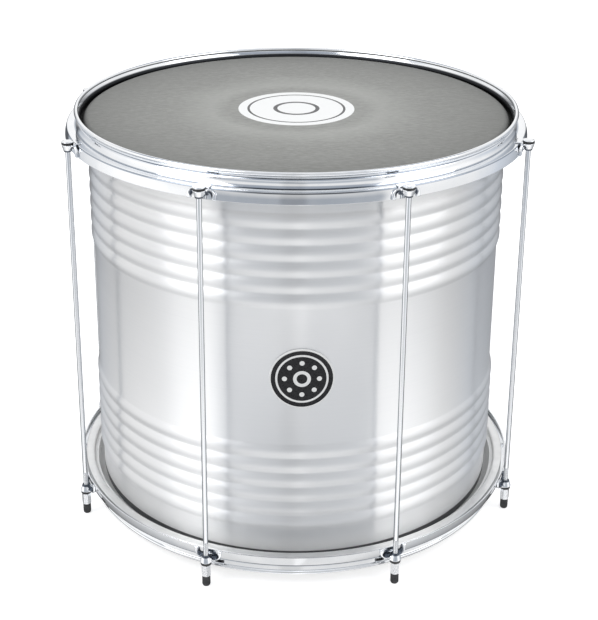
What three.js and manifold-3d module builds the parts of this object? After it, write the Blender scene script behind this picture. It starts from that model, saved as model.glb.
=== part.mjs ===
// Surdo: a two-headed bass drum with a beaded sheet shell, two rolled hoops and eight full-length rods.
// Millimetres, +Z up, origin on the floor under the middle of the drum, front towards -Y.
import * as THREE from "three";
import { mergeVertices } from "three/addons/utils/BufferGeometryUtils.js";
import Module from "manifold-3d";

// Clearance between pieces that touch, and how far a cutting shape runs past what it cuts
const fit_gap = 0.3;
const cut_overrun = 1;

// Shell: a twenty-inch sheet tube with two zones of rolled beads and ends curled inwards
const shell_radius = 254;
const shell_height = 478.4;
const shell_sheet = 1.5;
const shell_curl_radius = 4;
const shell_lip_width = 4;
const bead_pitch = 19.1;
const bead_height = 3;
const bead_zone_start = 84.5;
const beads_per_zone = 6;
const outer_bead_steps = 3;
const inner_bead_steps = 2;

// Badge on the front of the shell
const badge_radius = 37;
const badge_thickness = 1.2;

// Heads: the film lies on the shell's edge, bends down as a full collar and ends as a flap on its hoop
const film_thickness = 1;
const collar_crown_inset = 1.5;
const collar_foot_inset = 3;

// Flesh hoops
const flesh_hoop_clearance = 12;
const flesh_hoop_width = 11.5;
const flesh_hoop_height = 6.3;

// Counterhoops: rolled edge, wall hollowed by a cove, shoulder and outer band, all of one bent sheet
const hoop_sheet = 1.8;
const hoop_rise_over_head = 9.5;
const hoop_wall_height = 19;
const hoop_wall_inset = 2;
const hoop_cove_depth = 3.5;
const hoop_band_clearance = 3.7;
const hoop_band_height = 12.7;
const hoop_corner_radius = 3;
const rolled_edge_radius = 2.4;
const rolled_edge_sides = 6;

// Tension rods
const rod_count = 8;
const rod_radius = 3;
const rod_standoff = 7;
const rod_head_radius = 7.3;
const rod_collar_thickness = 2.4;
const rod_disc_thickness = 0.6;
const rod_dome_height = 0.8;
const rod_dome_flat_share = 0.6;

// Claws: a boss round the rod, two flared arms down the hoop's band and a lip over its shoulder
const claw_width = 35;
const claw_arm_width = 5.2;
const claw_arm_thickness = 2.6;
const claw_shoulder_width = 16;
const claw_bridge_height = 4.6;
const claw_boss_radius = 7.2;
const claw_boss_tip_radius = 4.4;
const claw_boss_length = 9;
const claw_lip_width = 18;
const claw_lip_depth = 8;
const claw_lip_thickness = 1.3;
const claw_lip_root = 2.6;
const claw_flank_share = 0.95;

// Washers, tuning nuts and rubber feet below the lower claws
const washer_radius = 6.5;
const washer_thickness = 3.2;
const nut_across_flats = 10;
const nut_length = 15.2;
const foot_radius = 4.9;
const foot_length = 13.7;
const foot_flat_radius = 2;
const foot_stem_length = 3;
const foot_stem_play = 0.7;

// Facets: the hoops' flats centre on the rods, and the small round pieces share one count
const hoop_sides = 40;
const drum_sides = 32;
const small_sides = 8;
const nut_sides = 6;
const badge_sides = 36;
const corner_steps = 2;
const cove_steps = 2;
const curve_steps = 2;

// Places worked out from the sizes above, as distances from the drum's middle plane
const shell_half = shell_height / 2;
const film_under = shell_half + fit_gap;
const film_top = film_under + film_thickness;
const rim_top = film_top + hoop_rise_over_head;
const shoulder_top = rim_top - hoop_wall_height;
const shoulder_under = shoulder_top - hoop_sheet;
const flap_top = shoulder_under - fit_gap;
const flap_under = flap_top - film_thickness;
const flesh_hoop_top = flap_under - fit_gap;
const flesh_hoop_bottom = flesh_hoop_top - flesh_hoop_height;
const band_edge = shoulder_top - hoop_band_height;

// Radii worked out from the sizes above
const flesh_hoop_inner = shell_radius + flesh_hoop_clearance;
const collar_crown = shell_radius - collar_crown_inset;
const collar_foot = flesh_hoop_inner - collar_foot_inset;
const flesh_hoop_outer = flesh_hoop_inner + flesh_hoop_width;
const hoop_wall_inner = flesh_hoop_inner + hoop_wall_inset;
const hoop_wall_outer = hoop_wall_inner + hoop_sheet;
const band_inner = flesh_hoop_outer + hoop_band_clearance;
const band_outer = band_inner + hoop_sheet;
const rod_circle = band_outer + rod_standoff;
const rod_hole_radius = rod_radius + fit_gap;
const claw_back = band_outer * Math.cos(Math.PI / hoop_sides) + fit_gap - rod_circle;

// Heights above the floor: the stack under the lower claws carries the drum
const nut_bottom = foot_length + fit_gap;
const nut_top = nut_bottom + nut_length;
const washer_bottom = nut_top + fit_gap;
const lower_seat = washer_bottom + washer_thickness + fit_gap;
const middle_height = lower_seat + shoulder_top;
const upper_seat = middle_height + shoulder_top;
const rod_end = nut_bottom + foot_stem_length + foot_stem_play;

const wasm = await Module();
wasm.setup();

// Materials
const aluminium = new THREE.MeshStandardMaterial({ color: 0xd9dcde, roughness: 0.28, metalness: 1 });
const chrome = new THREE.MeshStandardMaterial({ color: 0xe6eaee, roughness: 0.08, metalness: 1 });
const steel = new THREE.MeshStandardMaterial({ color: 0xc6cacd, roughness: 0.2, metalness: 1 });
const napa = new THREE.MeshStandardMaterial({ color: 0x8e8f8b, roughness: 0.75, metalness: 0 });
const white_film = new THREE.MeshStandardMaterial({ color: 0xe4e4e0, roughness: 0.5, metalness: 0 });
const matte_aluminium = new THREE.MeshStandardMaterial({ color: 0xd8d6d0, roughness: 0.5, metalness: 1 });
const rubber = new THREE.MeshStandardMaterial({ color: 0x1d1e20, roughness: 0.6, metalness: 0 });
const enamel = new THREE.MeshStandardMaterial({ color: 0x151517, roughness: 0.3, metalness: 0 });

// Turns an outline of [radius, height] points about the Z axis
function revolve(outline, sides) {
  const points = outline.map(([radius, height]) => new THREE.Vector2(radius, height));
  return new THREE.LatheGeometry(points, sides).rotateX(Math.PI / 2);
}

// Turns an outline that closes on itself, for a ring
function revolve_ring(outline, sides) {
  return revolve([...outline, outline[0]], sides);
}

// Points on an oval with its own run and rise, from one angle to another, both ends included
function oval_points(centre_radius, centre_height, run, rise, from_angle, to_angle, steps) {
  const points = [];
  for (let step = 0; step <= steps; step += 1) {
    const angle = from_angle + (to_angle - from_angle) * step / steps;
    points.push([centre_radius + run * Math.cos(angle), centre_height + rise * Math.sin(angle)]);
  }
  return points;
}

function arc_points(centre_radius, centre_height, radius, from_angle, to_angle, steps) {
  return oval_points(centre_radius, centre_height, radius, radius, from_angle, to_angle, steps);
}

// Closed geometry to a solid for joining and cutting, and back
function to_solid(geometry) {
  const bare = geometry.clone();
  bare.deleteAttribute("normal");
  bare.deleteAttribute("uv");
  const merged = mergeVertices(bare);
  return new wasm.Manifold(new wasm.Mesh({
    numProp: 3,
    vertProperties: new Float32Array(merged.attributes.position.array),
    triVerts: new Uint32Array(merged.index.array),
  }));
}

function to_geometry(solid) {
  const mesh = solid.getMesh();
  const geometry = new THREE.BufferGeometry();
  geometry.setAttribute("position", new THREE.BufferAttribute(new Float32Array(mesh.vertProperties), 3));
  geometry.setIndex(new THREE.BufferAttribute(new Uint32Array(mesh.triVerts), 1));
  geometry.computeVertexNormals();
  return geometry;
}

// One zone of convex beads along a wall, ends included, from the middle outwards
function bead_zone(wall_radius, steps) {
  const points = [];
  for (let index = 0; index <= beads_per_zone * steps; index += 1) {
    const swell = bead_height * Math.abs(Math.sin(Math.PI * index / steps));
    points.push([wall_radius + swell, bead_zone_start + bead_pitch * index / steps]);
  }
  return points;
}

function mirrored(points) {
  return points.map(([radius, height]) => [radius, -height]).reverse();
}

// Shell: the outer face bottom to top, then the inner face back down
function shell_geometry() {
  const inner_wall = shell_radius - shell_sheet;
  const curl_centre = shell_radius - shell_curl_radius;
  const lip_radius = curl_centre - shell_lip_width;
  const curl_height = shell_half - shell_curl_radius;
  const curl = arc_points(curl_centre, curl_height, shell_curl_radius, 0, Math.PI / 2, corner_steps);
  const outer_half = [...bead_zone(shell_radius, outer_bead_steps), ...curl, [lip_radius, shell_half]];
  const inner_half = [
    ...bead_zone(inner_wall, inner_bead_steps),
    [inner_wall, curl_height],
    [curl_centre, shell_half - shell_sheet],
    [lip_radius, shell_half - shell_sheet],
  ];
  const outer = [...mirrored(outer_half), ...outer_half];
  const inner = [...mirrored(inner_half), ...inner_half].reverse();
  return revolve_ring([...outer, ...inner], drum_sides);
}

// Badge: a round plate bent to the shell, cut out of a thin sleeve that has the shell's facets
function badge_geometry() {
  const inner = shell_radius + fit_gap;
  const outer = inner + badge_thickness;
  const reach = badge_radius + cut_overrun;
  const sleeve = revolve_ring([[inner, -reach], [outer, -reach], [outer, reach], [inner, reach]], drum_sides);
  const disc = new THREE.CylinderGeometry(badge_radius, badge_radius, outer, badge_sides);
  disc.translate(0, -outer, 0);
  return to_geometry(to_solid(sleeve).intersect(to_solid(disc)));
}

// Head: film, collar and flap, with the flap lying between the hoop's shoulder and the flesh hoop
function head_geometry() {
  const run = collar_foot - collar_crown;
  const rise = film_top - flap_top;
  const outline = [
    [0, film_under],
    ...oval_points(collar_crown, flap_under, run - film_thickness, rise, Math.PI / 2, 0, corner_steps),
    [flesh_hoop_outer, flap_under],
    [flesh_hoop_outer, flap_top],
    ...oval_points(collar_crown, flap_top, run, rise, 0, Math.PI / 2, corner_steps),
    [0, film_top],
  ];
  return revolve(outline, drum_sides);
}

// Flesh hoop: a flat ring under the head's flap
function flesh_hoop_geometry() {
  const outline = [
    [flesh_hoop_inner, flesh_hoop_bottom],
    [flesh_hoop_outer, flesh_hoop_bottom],
    [flesh_hoop_outer, flesh_hoop_top],
    [flesh_hoop_inner, flesh_hoop_top],
  ];
  return revolve_ring(outline, drum_sides);
}

// Points up one face of the hoop's wall, drawn inwards between its two ends
function cove_points(wall_radius, low, high) {
  const points = [];
  for (let step = 0; step <= cove_steps; step += 1) {
    const share = step / cove_steps;
    points.push([wall_radius - hoop_cove_depth * Math.sin(Math.PI * share), low + (high - low) * share]);
  }
  return points;
}

// Counterhoop: band, rounded corner, shoulder, wall and the edge rolled at its top
function hoop_geometry() {
  const edge_radius = hoop_wall_inner + hoop_sheet / 2;
  const edge_height = rim_top - rolled_edge_radius;
  const wall_angle = Math.asin(hoop_sheet / 2 / rolled_edge_radius);
  const wall_top = edge_height - rolled_edge_radius * Math.cos(wall_angle);
  const rolled = arc_points(
    edge_radius, edge_height, rolled_edge_radius,
    wall_angle - Math.PI / 2, Math.PI * 3 / 2 - wall_angle, rolled_edge_sides,
  );
  const corner_radius = band_outer - hoop_corner_radius;
  const corner_height = shoulder_top - hoop_corner_radius;
  const outline = [
    [band_inner, shoulder_under],
    [band_inner, band_edge],
    [band_outer, band_edge],
    ...arc_points(corner_radius, corner_height, hoop_corner_radius, 0, Math.PI / 2, corner_steps),
    ...cove_points(hoop_wall_outer, shoulder_top, wall_top),
    ...rolled.slice(1, -1),
    ...cove_points(hoop_wall_inner, shoulder_under, wall_top).reverse(),
  ];
  return revolve_ring(outline, hoop_sides);
}

// Tension rod: shank, washer collar and the disc head with its low dome
function rod_geometry() {
  const collar_bottom = upper_seat + fit_gap;
  const disc_bottom = collar_bottom + rod_collar_thickness;
  const disc_top = disc_bottom + rod_disc_thickness;
  const outline = [
    [0, rod_end],
    [rod_radius, rod_end],
    [rod_radius, collar_bottom],
    [rod_head_radius, collar_bottom],
    [rod_head_radius, disc_top],
    [rod_head_radius * rod_dome_flat_share, disc_top + rod_dome_height],
    [0, disc_top + rod_dome_height],
  ];
  return revolve(outline, small_sides);
}

// Claw seen from the rod's end: straight along the band, drawn in to the boss on both sides
function claw_plan() {
  const half = claw_width / 2;
  const front = claw_back + claw_arm_thickness;
  const plan = new THREE.Shape();
  plan.moveTo(-half, claw_back);
  plan.lineTo(half, claw_back);
  plan.lineTo(half, front);
  plan.quadraticCurveTo(claw_boss_radius, front, claw_boss_radius * claw_flank_share, 0);
  plan.lineTo(-claw_boss_radius * claw_flank_share, 0);
  plan.quadraticCurveTo(-claw_boss_radius, front, -half, front);
  return plan;
}

// Claw seen from outside: an arched bridge with an arm at each end
function claw_front() {
  const half = claw_width / 2;
  const arm = half - claw_arm_width;
  const shoulder = claw_shoulder_width / 2;
  const front = new THREE.Shape();
  front.moveTo(-half, -hoop_band_height);
  front.lineTo(-arm, -hoop_band_height);
  front.quadraticCurveTo(-arm, -claw_bridge_height, -claw_boss_tip_radius, -claw_bridge_height);
  front.lineTo(claw_boss_tip_radius, -claw_bridge_height);
  front.quadraticCurveTo(arm, -claw_bridge_height, arm, -hoop_band_height);
  front.lineTo(half, -hoop_band_height);
  front.quadraticCurveTo(half, 0, shoulder, 0);
  front.lineTo(-shoulder, 0);
  front.quadraticCurveTo(-half, 0, -half, -hoop_band_height);
  return front;
}

// Claw from the side: the lip over the hoop's shoulder and the root that joins it to the bridge
function claw_lip() {
  const lip = new THREE.Shape();
  lip.moveTo(claw_back, -claw_bridge_height);
  lip.lineTo(claw_back + claw_lip_root, -claw_bridge_height);
  lip.lineTo(claw_back + claw_lip_root, fit_gap + claw_lip_thickness);
  lip.lineTo(claw_back - claw_lip_depth, fit_gap + claw_lip_thickness);
  lip.lineTo(claw_back - claw_lip_depth, fit_gap);
  lip.lineTo(claw_back, fit_gap);
  return lip;
}

// Claw: its two outlines meet as one form, the boss and lip join it, the rod's hole and seat cut it
function claw_geometry() {
  const plan = new THREE.ExtrudeGeometry(claw_plan(), {
    depth: hoop_band_height + 2 * cut_overrun, bevelEnabled: false, curveSegments: curve_steps,
  });
  plan.translate(0, 0, -hoop_band_height - cut_overrun);
  const front = new THREE.ExtrudeGeometry(claw_front(), {
    depth: 2 * claw_width, bevelEnabled: false, curveSegments: curve_steps,
  });
  front.rotateX(Math.PI / 2).translate(0, claw_width, 0);
  const lip = new THREE.ExtrudeGeometry(claw_lip(), { depth: claw_lip_width, bevelEnabled: false });
  lip.rotateX(Math.PI / 2).rotateZ(Math.PI / 2).translate(-claw_lip_width / 2, 0, 0);
  const boss = revolve([
    [0, -claw_boss_length],
    [claw_boss_tip_radius, -claw_boss_length],
    [claw_boss_radius, 0],
    [0, 0],
  ], small_sides);
  const seat_radius = rod_head_radius + fit_gap;
  const seat_top = claw_lip_thickness + fit_gap + cut_overrun;
  const seat = revolve([[0, 0], [seat_radius, 0], [seat_radius, seat_top], [0, seat_top]], small_sides);
  const hole_end = claw_boss_length + cut_overrun;
  const hole = revolve([
    [0, -hole_end],
    [rod_hole_radius, -hole_end],
    [rod_hole_radius, cut_overrun],
    [0, cut_overrun],
  ], small_sides);
  const form = to_solid(plan).intersect(to_solid(front)).add(to_solid(lip)).add(to_solid(boss));
  return to_geometry(form.subtract(to_solid(seat)).subtract(to_solid(hole)));
}

function washer_geometry() {
  const outline = [
    [rod_hole_radius, washer_bottom],
    [washer_radius, washer_bottom],
    [washer_radius, washer_bottom + washer_thickness],
    [rod_hole_radius, washer_bottom + washer_thickness],
  ];
  return revolve_ring(outline, small_sides);
}

// Corners of a regular polygon, the first one towards the front as on the turned pieces
function polygon_corners(radius, sides) {
  const corners = [];
  for (let corner = 0; corner < sides; corner += 1) {
    const angle = 2 * Math.PI * corner / sides - Math.PI / 2;
    corners.push(new THREE.Vector2(radius * Math.cos(angle), radius * Math.sin(angle)));
  }
  return corners;
}

// Tuning nut: a long hexagon with the rod's bore through it
function nut_geometry() {
  const nut_corner_radius = nut_across_flats / 2 / Math.cos(Math.PI / nut_sides);
  const hexagon = new THREE.Shape(polygon_corners(nut_corner_radius, nut_sides));
  hexagon.holes.push(new THREE.Path(polygon_corners(rod_hole_radius, small_sides)));
  const nut = new THREE.ExtrudeGeometry(hexagon, { depth: nut_length, bevelEnabled: false });
  return nut.translate(0, 0, nut_bottom);
}

// Rubber foot: a round-ended tip that stands on a small flat, with a stem pressed into the nut
function foot_geometry() {
  const round_height = foot_radius - foot_flat_radius;
  const outline = [
    [0, 0],
    ...arc_points(foot_flat_radius, round_height, round_height, -Math.PI / 2, 0, corner_steps),
    [foot_radius, foot_length],
    [rod_radius, foot_length],
    [rod_radius, nut_bottom + foot_stem_length],
    [0, nut_bottom + foot_stem_length],
  ];
  return revolve(outline, small_sides);
}

// Puts one piece in the drum under its own name
const surdo = new THREE.Group();
function place(parent, name, geometry, material) {
  const piece = new THREE.Mesh(geometry, material);
  piece.name = name;
  parent.add(piece);
  return piece;
}

// Shell and badge stand on the middle plane
const drum = new THREE.Group();
drum.position.z = middle_height;
surdo.add(drum);
place(drum, "shell", shell_geometry(), aluminium);
place(drum, "shell_badge", badge_geometry(), enamel);

// The batter end faces up, and the resonant end is the same set turned over with a plain white film
for (const [end, turn, film] of [["batter", 0, napa], ["resonant", Math.PI, white_film]]) {
  const half = new THREE.Group();
  half.rotation.x = turn;
  drum.add(half);
  place(half, `${end}_head`, head_geometry(), film);
  place(half, `${end}_flesh_hoop`, flesh_hoop_geometry(), matte_aluminium);
  place(half, `${end}_hoop`, hoop_geometry(), chrome);
}

// Eight stations, the first to the right of the front, then counter-clockwise seen from above
for (let index = 0; index < rod_count; index += 1) {
  const number = index + 1;
  const turn = new THREE.Group();
  turn.rotation.z = 2 * Math.PI * (index + 1 / 2) / rod_count - Math.PI;
  surdo.add(turn);
  const station = new THREE.Group();
  station.position.y = rod_circle;
  turn.add(station);
  place(station, `tension_rod_${number}`, rod_geometry(), chrome);
  place(station, `upper_claw_${number}`, claw_geometry(), chrome).position.z = upper_seat;
  const lower = place(station, `lower_claw_${number}`, claw_geometry(), chrome);
  lower.position.z = lower_seat;
  lower.rotation.y = Math.PI;
  place(station, `lower_washer_${number}`, washer_geometry(), rubber);
  place(station, `tuning_nut_${number}`, nut_geometry(), steel);
  place(station, `rubber_foot_${number}`, foot_geometry(), rubber);
}

export default surdo;
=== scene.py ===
"""Looks of the surdo: a beaded aluminium drum with two rolled hoops, eight rods, claws and rubber feet.

Metres, +Z up, front towards -Y, in the same frame as the CAD model. Lengths below are written in
millimetres and multiplied by MM once, where a mesh or a shader node is made. Only the studio round
the drum, with its floor, lamps and camera, is written in metres.
"""

import math

import bmesh
import bpy
import numpy as np
from mathutils import Matrix, Vector


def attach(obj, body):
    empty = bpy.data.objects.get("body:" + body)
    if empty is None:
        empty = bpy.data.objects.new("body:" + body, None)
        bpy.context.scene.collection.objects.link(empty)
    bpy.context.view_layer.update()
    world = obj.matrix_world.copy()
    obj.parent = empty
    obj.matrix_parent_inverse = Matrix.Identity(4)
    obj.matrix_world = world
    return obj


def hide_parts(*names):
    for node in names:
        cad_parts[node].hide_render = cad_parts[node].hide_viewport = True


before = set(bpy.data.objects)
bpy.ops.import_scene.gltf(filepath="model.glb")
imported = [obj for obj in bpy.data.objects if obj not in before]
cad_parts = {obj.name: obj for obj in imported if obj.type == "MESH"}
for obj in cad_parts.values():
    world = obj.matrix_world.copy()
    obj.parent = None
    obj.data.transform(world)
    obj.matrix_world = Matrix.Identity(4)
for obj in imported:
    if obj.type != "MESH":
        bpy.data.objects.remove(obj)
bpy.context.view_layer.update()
scene = bpy.context.scene

MM = 0.001

# Sizes of the drum, the same as in the CAD model. Shell, badge, heads and hoops count their heights
# from the drum's middle plane, rods, washers, nuts and feet from the floor, and claws from their seat.
FIT_GAP = 0.3
MIDDLE = 264.0

SHELL_RADIUS = 254.0
SHELL_HALF = 239.2
SHELL_SHEET = 1.5
CURL_RADIUS = 4.0
LIP_WIDTH = 4.0
BEAD_PITCH = 19.1
BEAD_HEIGHT = 3.0
BEAD_START = 84.5
BEADS = 6
BADGE_RADIUS = 37.0

HOOP_SHEET = 1.8
RIM_TOP = 250.0
SHOULDER_TOP = 231.0
SHOULDER_UNDER = SHOULDER_TOP - HOOP_SHEET
WALL_OUTER = 269.8
WALL_INNER = WALL_OUTER - HOOP_SHEET
BAND_OUTER = 283.0
BAND_INNER = BAND_OUTER - HOOP_SHEET
BAND_EDGE = 218.3
COVE_DEPTH = 3.5
ROLL_RADIUS = 2.4

FILM_THICKNESS = 1.0
FILM_UNDER = SHELL_HALF + FIT_GAP
FILM_TOP = FILM_UNDER + FILM_THICKNESS
FLAP_TOP = SHOULDER_UNDER - FIT_GAP
FLAP_UNDER = FLAP_TOP - FILM_THICKNESS
COLLAR_CROWN = 252.5
COLLAR_FOOT = 263.0
FLESH_TOP = FLAP_UNDER - FIT_GAP
FLESH_BOTTOM = 221.3
FLESH_INNER = 266.0
FLESH_OUTER = 277.5

ROD_CIRCLE = 290.0
ROD_COUNT = 8
ROD_RADIUS = 3.0
ROD_END = 17.7
BORE_RADIUS = ROD_RADIUS + FIT_GAP
DISC_RADIUS = 7.3
DISC_UNDER = 497.6
UPPER_SEAT = 495.0
LOWER_SEAT = 33.0

CLAW_BACK = -7.55
CLAW_HALF = 17.5
CLAW_DROP = 12.7
BOSS_RADIUS = 7.2
BOSS_TIP = 4.4
BOSS_LENGTH = 9.0

WASHER_RADIUS = 6.5
WASHER_LOW = 29.5
WASHER_HIGH = LOWER_SEAT - FIT_GAP
NUT_LOW = 14.0
NUT_HIGH = WASHER_LOW - FIT_GAP
NUT_FLATS = 10.0
FOOT_RADIUS = 4.9
FOOT_FLAT = 2.0
FOOT_TOP = NUT_LOW - FIT_GAP
STEM_TOP = 17.0

# Sizes that only the looks have: the thread, the upper washers, and the stretch of the hoop's wall
# that its shading takes for the cove
THREAD_TOP = 60.0
THREAD_PITCH = 1.0
THREAD_DEPTH = 0.32
UPPER_WASHER_LOW = UPPER_SEAT + FIT_GAP
UPPER_WASHER_INNER = 3.2
UPPER_WASHER_OUTER = 7.1
COVE_LOW = 230.1
COVE_RISE = 15.3

# Shading of the shell's foot. It has no part in the mesh: over its last 28 mm the sheet only
# mirrors as if it leaned outwards, by FOOT_LEAN at its end, and its colour turns lighter there,
# as painted light.
FOOT_SHADE_TOP = -200.0
FOOT_SHADE_END = -228.0
FOOT_LEAN = 2.6

# Side of the square that the badge's pattern is drawn on, and the pattern in shares of that side
BADGE_CHART = 80.0
DOT_CIRCLE, DOT_RADIUS = 0.245, 0.036
BADGE_RING = (0.345, 0.375)
BADGE_HUB = (0.075, 0.125)
BADGE_RIM = 0.438

# Radii of the white disc printed on the head and, inside and outside, of its two dark rings
PRINT_RADIUS = 71.5
PRINT_RING = (57.5, 60.5)
PRINT_CORE = (23.5, 28.5)

# Sides of turned pieces
DRUM_SIDES = 320
HOOP_SIDES = 288
SMALL_SIDES = 48
ROD_SIDES = 24
NUT_SIDES = 96
BADGE_SIDES = 128


# Meshes

def linked(name, mesh):
    piece = bpy.data.objects.new(name, mesh)
    scene.collection.objects.link(piece)
    return piece


def outward(mesh):
    """Turns all faces outwards."""
    work = bmesh.new()
    work.from_mesh(mesh)
    bmesh.ops.recalc_face_normals(work, faces=work.faces)
    work.to_mesh(mesh)
    work.free()


def mesh_piece(name, points, faces, crease):
    """A smooth-shaded object with sharp edges kept where faces turn by more than crease degrees."""
    mesh = bpy.data.meshes.new(name)
    mesh.from_pydata([tuple(float(c) * MM for c in p) for p in points], [], faces)
    mesh.validate()
    for polygon in mesh.polygons:
        polygon.use_smooth = True
    mesh.set_sharp_from_angle(angle=math.radians(crease))
    outward(mesh)
    return linked(name, mesh)


def taken_mesh(piece):
    """The mesh of a piece that several stations share. The piece itself goes."""
    mesh = piece.data
    bpy.data.objects.remove(piece)
    return mesh


def fillet(corners, steps):
    """An outline with its corners rounded: each corner is (radius, height) or (radius, height, fillet)."""
    out = []
    count = len(corners)
    for i, corner in enumerate(corners):
        here = np.array(corner[:2], float)
        size = corner[2] if len(corner) > 2 else 0.0
        if not size:
            out.append(tuple(here))
            continue
        before = np.array(corners[(i - 1) % count][:2], float) - here
        after = np.array(corners[(i + 1) % count][:2], float) - here
        reach_before, reach_after = np.linalg.norm(before), np.linalg.norm(after)
        before /= reach_before
        after /= reach_after
        half = math.acos(max(-1.0, min(1.0, float(before @ after)))) / 2
        run = min(size / math.tan(half), reach_before * 0.49, reach_after * 0.49)
        radius = run * math.tan(half)
        middle = before + after
        middle /= np.linalg.norm(middle)
        centre = here + middle * (radius / math.sin(half))
        start = here + before * run - centre
        end = here + after * run - centre
        turn = math.atan2(start[0] * end[1] - start[1] * end[0], start @ end)
        for step in range(steps + 1):
            a = turn * step / steps
            out.append((centre[0] + start[0] * math.cos(a) - start[1] * math.sin(a),
                        centre[1] + start[0] * math.sin(a) + start[1] * math.cos(a)))
    return out


def arc(centre_radius, centre_height, radius, start, end, steps):
    """Points on an arc from its start to its end, both in degrees."""
    return [(centre_radius + radius * math.cos(math.radians(start + (end - start) * i / steps)),
             centre_height + radius * math.sin(math.radians(start + (end - start) * i / steps)))
            for i in range(steps + 1)]


def ring_faces(rows, closed):
    """Faces between rows of point numbers: quads, or triangles where a row is one point."""
    faces = []
    for r in range(len(rows) if closed else len(rows) - 1):
        low, high = rows[r], rows[(r + 1) % len(rows)]
        for i in range(len(low)):
            j = (i + 1) % len(low)
            face = [low[i], low[j], high[j], high[i]]
            face = [v for k, v in enumerate(face) if v != face[k - 1]]
            if len(face) > 2:
                faces.append(face)
    return faces


def turned(name, outline, sides, crease, ring=True):
    """Turns an outline about the Z axis. A ring's outline closes on itself, another ends on the axis."""
    points, rows = [], []
    for radius, height in outline:
        if radius < 1e-6:
            rows.append([len(points)] * sides)
            points.append((0, 0, height))
            continue
        rows.append(list(range(len(points), len(points) + sides)))
        for i in range(sides):
            a = 2 * math.pi * i / sides
            points.append((radius * math.cos(a), radius * math.sin(a), height))
    return mesh_piece(name, points, ring_faces(rows, ring), crease)


def swept_mesh(name, rows, crease, closed):
    """A mesh through rows of (radius, angle, height), which close on themselves or end in flat caps."""
    sides = len(rows[0])
    points = [(r * math.cos(a), r * math.sin(a), h) for row in rows for r, a, h in row]
    numbers = [[r * sides + s for s in range(sides)] for r in range(len(rows))]
    faces = ring_faces(numbers, closed)
    if not closed:
        faces += [numbers[0][::-1], numbers[-1]]
    return taken_mesh(mesh_piece(name, points, faces, crease))


# Node helpers

def node(tree, kind, inputs=None, **settings):
    made = tree.nodes.new(kind)
    for key, value in settings.items():
        setattr(made, key, value)
    for key, value in (inputs or {}).items():
        socket = made.inputs[key]
        if isinstance(value, bpy.types.NodeSocket):
            tree.links.new(value, socket)
        else:
            socket.default_value = value
    return made


def calc(tree, operation, *values, clamp=False):
    inputs = dict(enumerate(values))
    return node(tree, "ShaderNodeMath", inputs, operation=operation, use_clamp=clamp).outputs[0]


def noise(tree, vector, scale, detail, rough):
    return node(tree, "ShaderNodeTexNoise", {"Vector": vector, "Scale": scale, "Detail": detail,
                                             "Roughness": rough}).outputs[0]


def stretched(tree, vector, x, y, z):
    return node(tree, "ShaderNodeMapping", {"Vector": vector, "Scale": (x, y, z)}).outputs[0]


def remap(tree, value, a, b, c, d):
    """Turns a to c and b to d, and holds the ends."""
    return node(tree, "ShaderNodeMapRange", {"Value": value, "From Min": a, "From Max": b,
                                             "To Min": c, "To Max": d}).outputs[0]


def ramp(tree, value, stops):
    made = node(tree, "ShaderNodeValToRGB", {"Fac": value})
    elements = made.color_ramp.elements
    while len(elements) < len(stops):
        elements.new(0.5)
    for element, (place, colour) in zip(elements, stops):
        element.position = place
        element.color = (*colour, 1)
    return made.outputs[0]


def blend_colour(tree, factor, a, b, mode="MIX"):
    made = node(tree, "ShaderNodeMix", data_type="RGBA", blend_type=mode)
    for socket, value in ((made.inputs[0], factor), (made.inputs[6], a), (made.inputs[7], b)):
        if isinstance(value, bpy.types.NodeSocket):
            tree.links.new(value, socket)
        else:
            socket.default_value = (*value, 1) if isinstance(value, tuple) else value
    return made.outputs[2]


def axes(tree, vector):
    """The three parts of a vector."""
    return node(tree, "ShaderNodeSeparateXYZ", {"Vector": vector}).outputs


def length(tree, *parts):
    """Root of the sum of the squares."""
    total = None
    for part in parts:
        square = calc(tree, "MULTIPLY", part, part)
        total = square if total is None else calc(tree, "ADD", total, square)
    return calc(tree, "SQRT", total)


def within(tree, value, limits, unit=1.0):
    """One between the two limits, else nothing."""
    low, high = limits
    return calc(tree, "MULTIPLY", calc(tree, "GREATER_THAN", value, low * unit),
                calc(tree, "LESS_THAN", value, high * unit))


def dress(tree, shader, colour, rough):
    """Gives a shader its colour and roughness."""
    tree.links.new(colour, shader.inputs["Base Color"])
    tree.links.new(rough, shader.inputs["Roughness"])


def material(name, base, metallic, roughness, **extra):
    """A material with a Principled shader, its tree, its shader and its object coordinates."""
    made = bpy.data.materials.new(name)
    made.use_nodes = True
    tree = made.node_tree
    shader = tree.nodes["Principled BSDF"]
    shader.inputs["Base Color"].default_value = (*base, 1)
    shader.inputs["Metallic"].default_value = metallic
    shader.inputs["Roughness"].default_value = roughness
    for key, value in extra.items():
        shader.inputs[key.replace("_", " ")].default_value = value
    here = node(tree, "ShaderNodeTexCoord").outputs["Object"]
    return made, tree, shader, here


def round_axis(tree, here):
    """Distance from the Z axis and height, in metres, in the piece's own frame."""
    x, y, z = axes(tree, here)
    return length(tree, x, y), z


def bump(tree, shader, height, strength, distance):
    made = node(tree, "ShaderNodeBump", {"Height": height, "Strength": strength, "Distance": distance})
    tree.links.new(made.outputs[0], shader.inputs["Normal"])


def tone(level, tint=(1.0, 1.0, 1.0)):
    return tuple(level * t for t in tint)


# Materials. Each one starts with a plain colour and roughness, which its nodes then take over.

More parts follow.
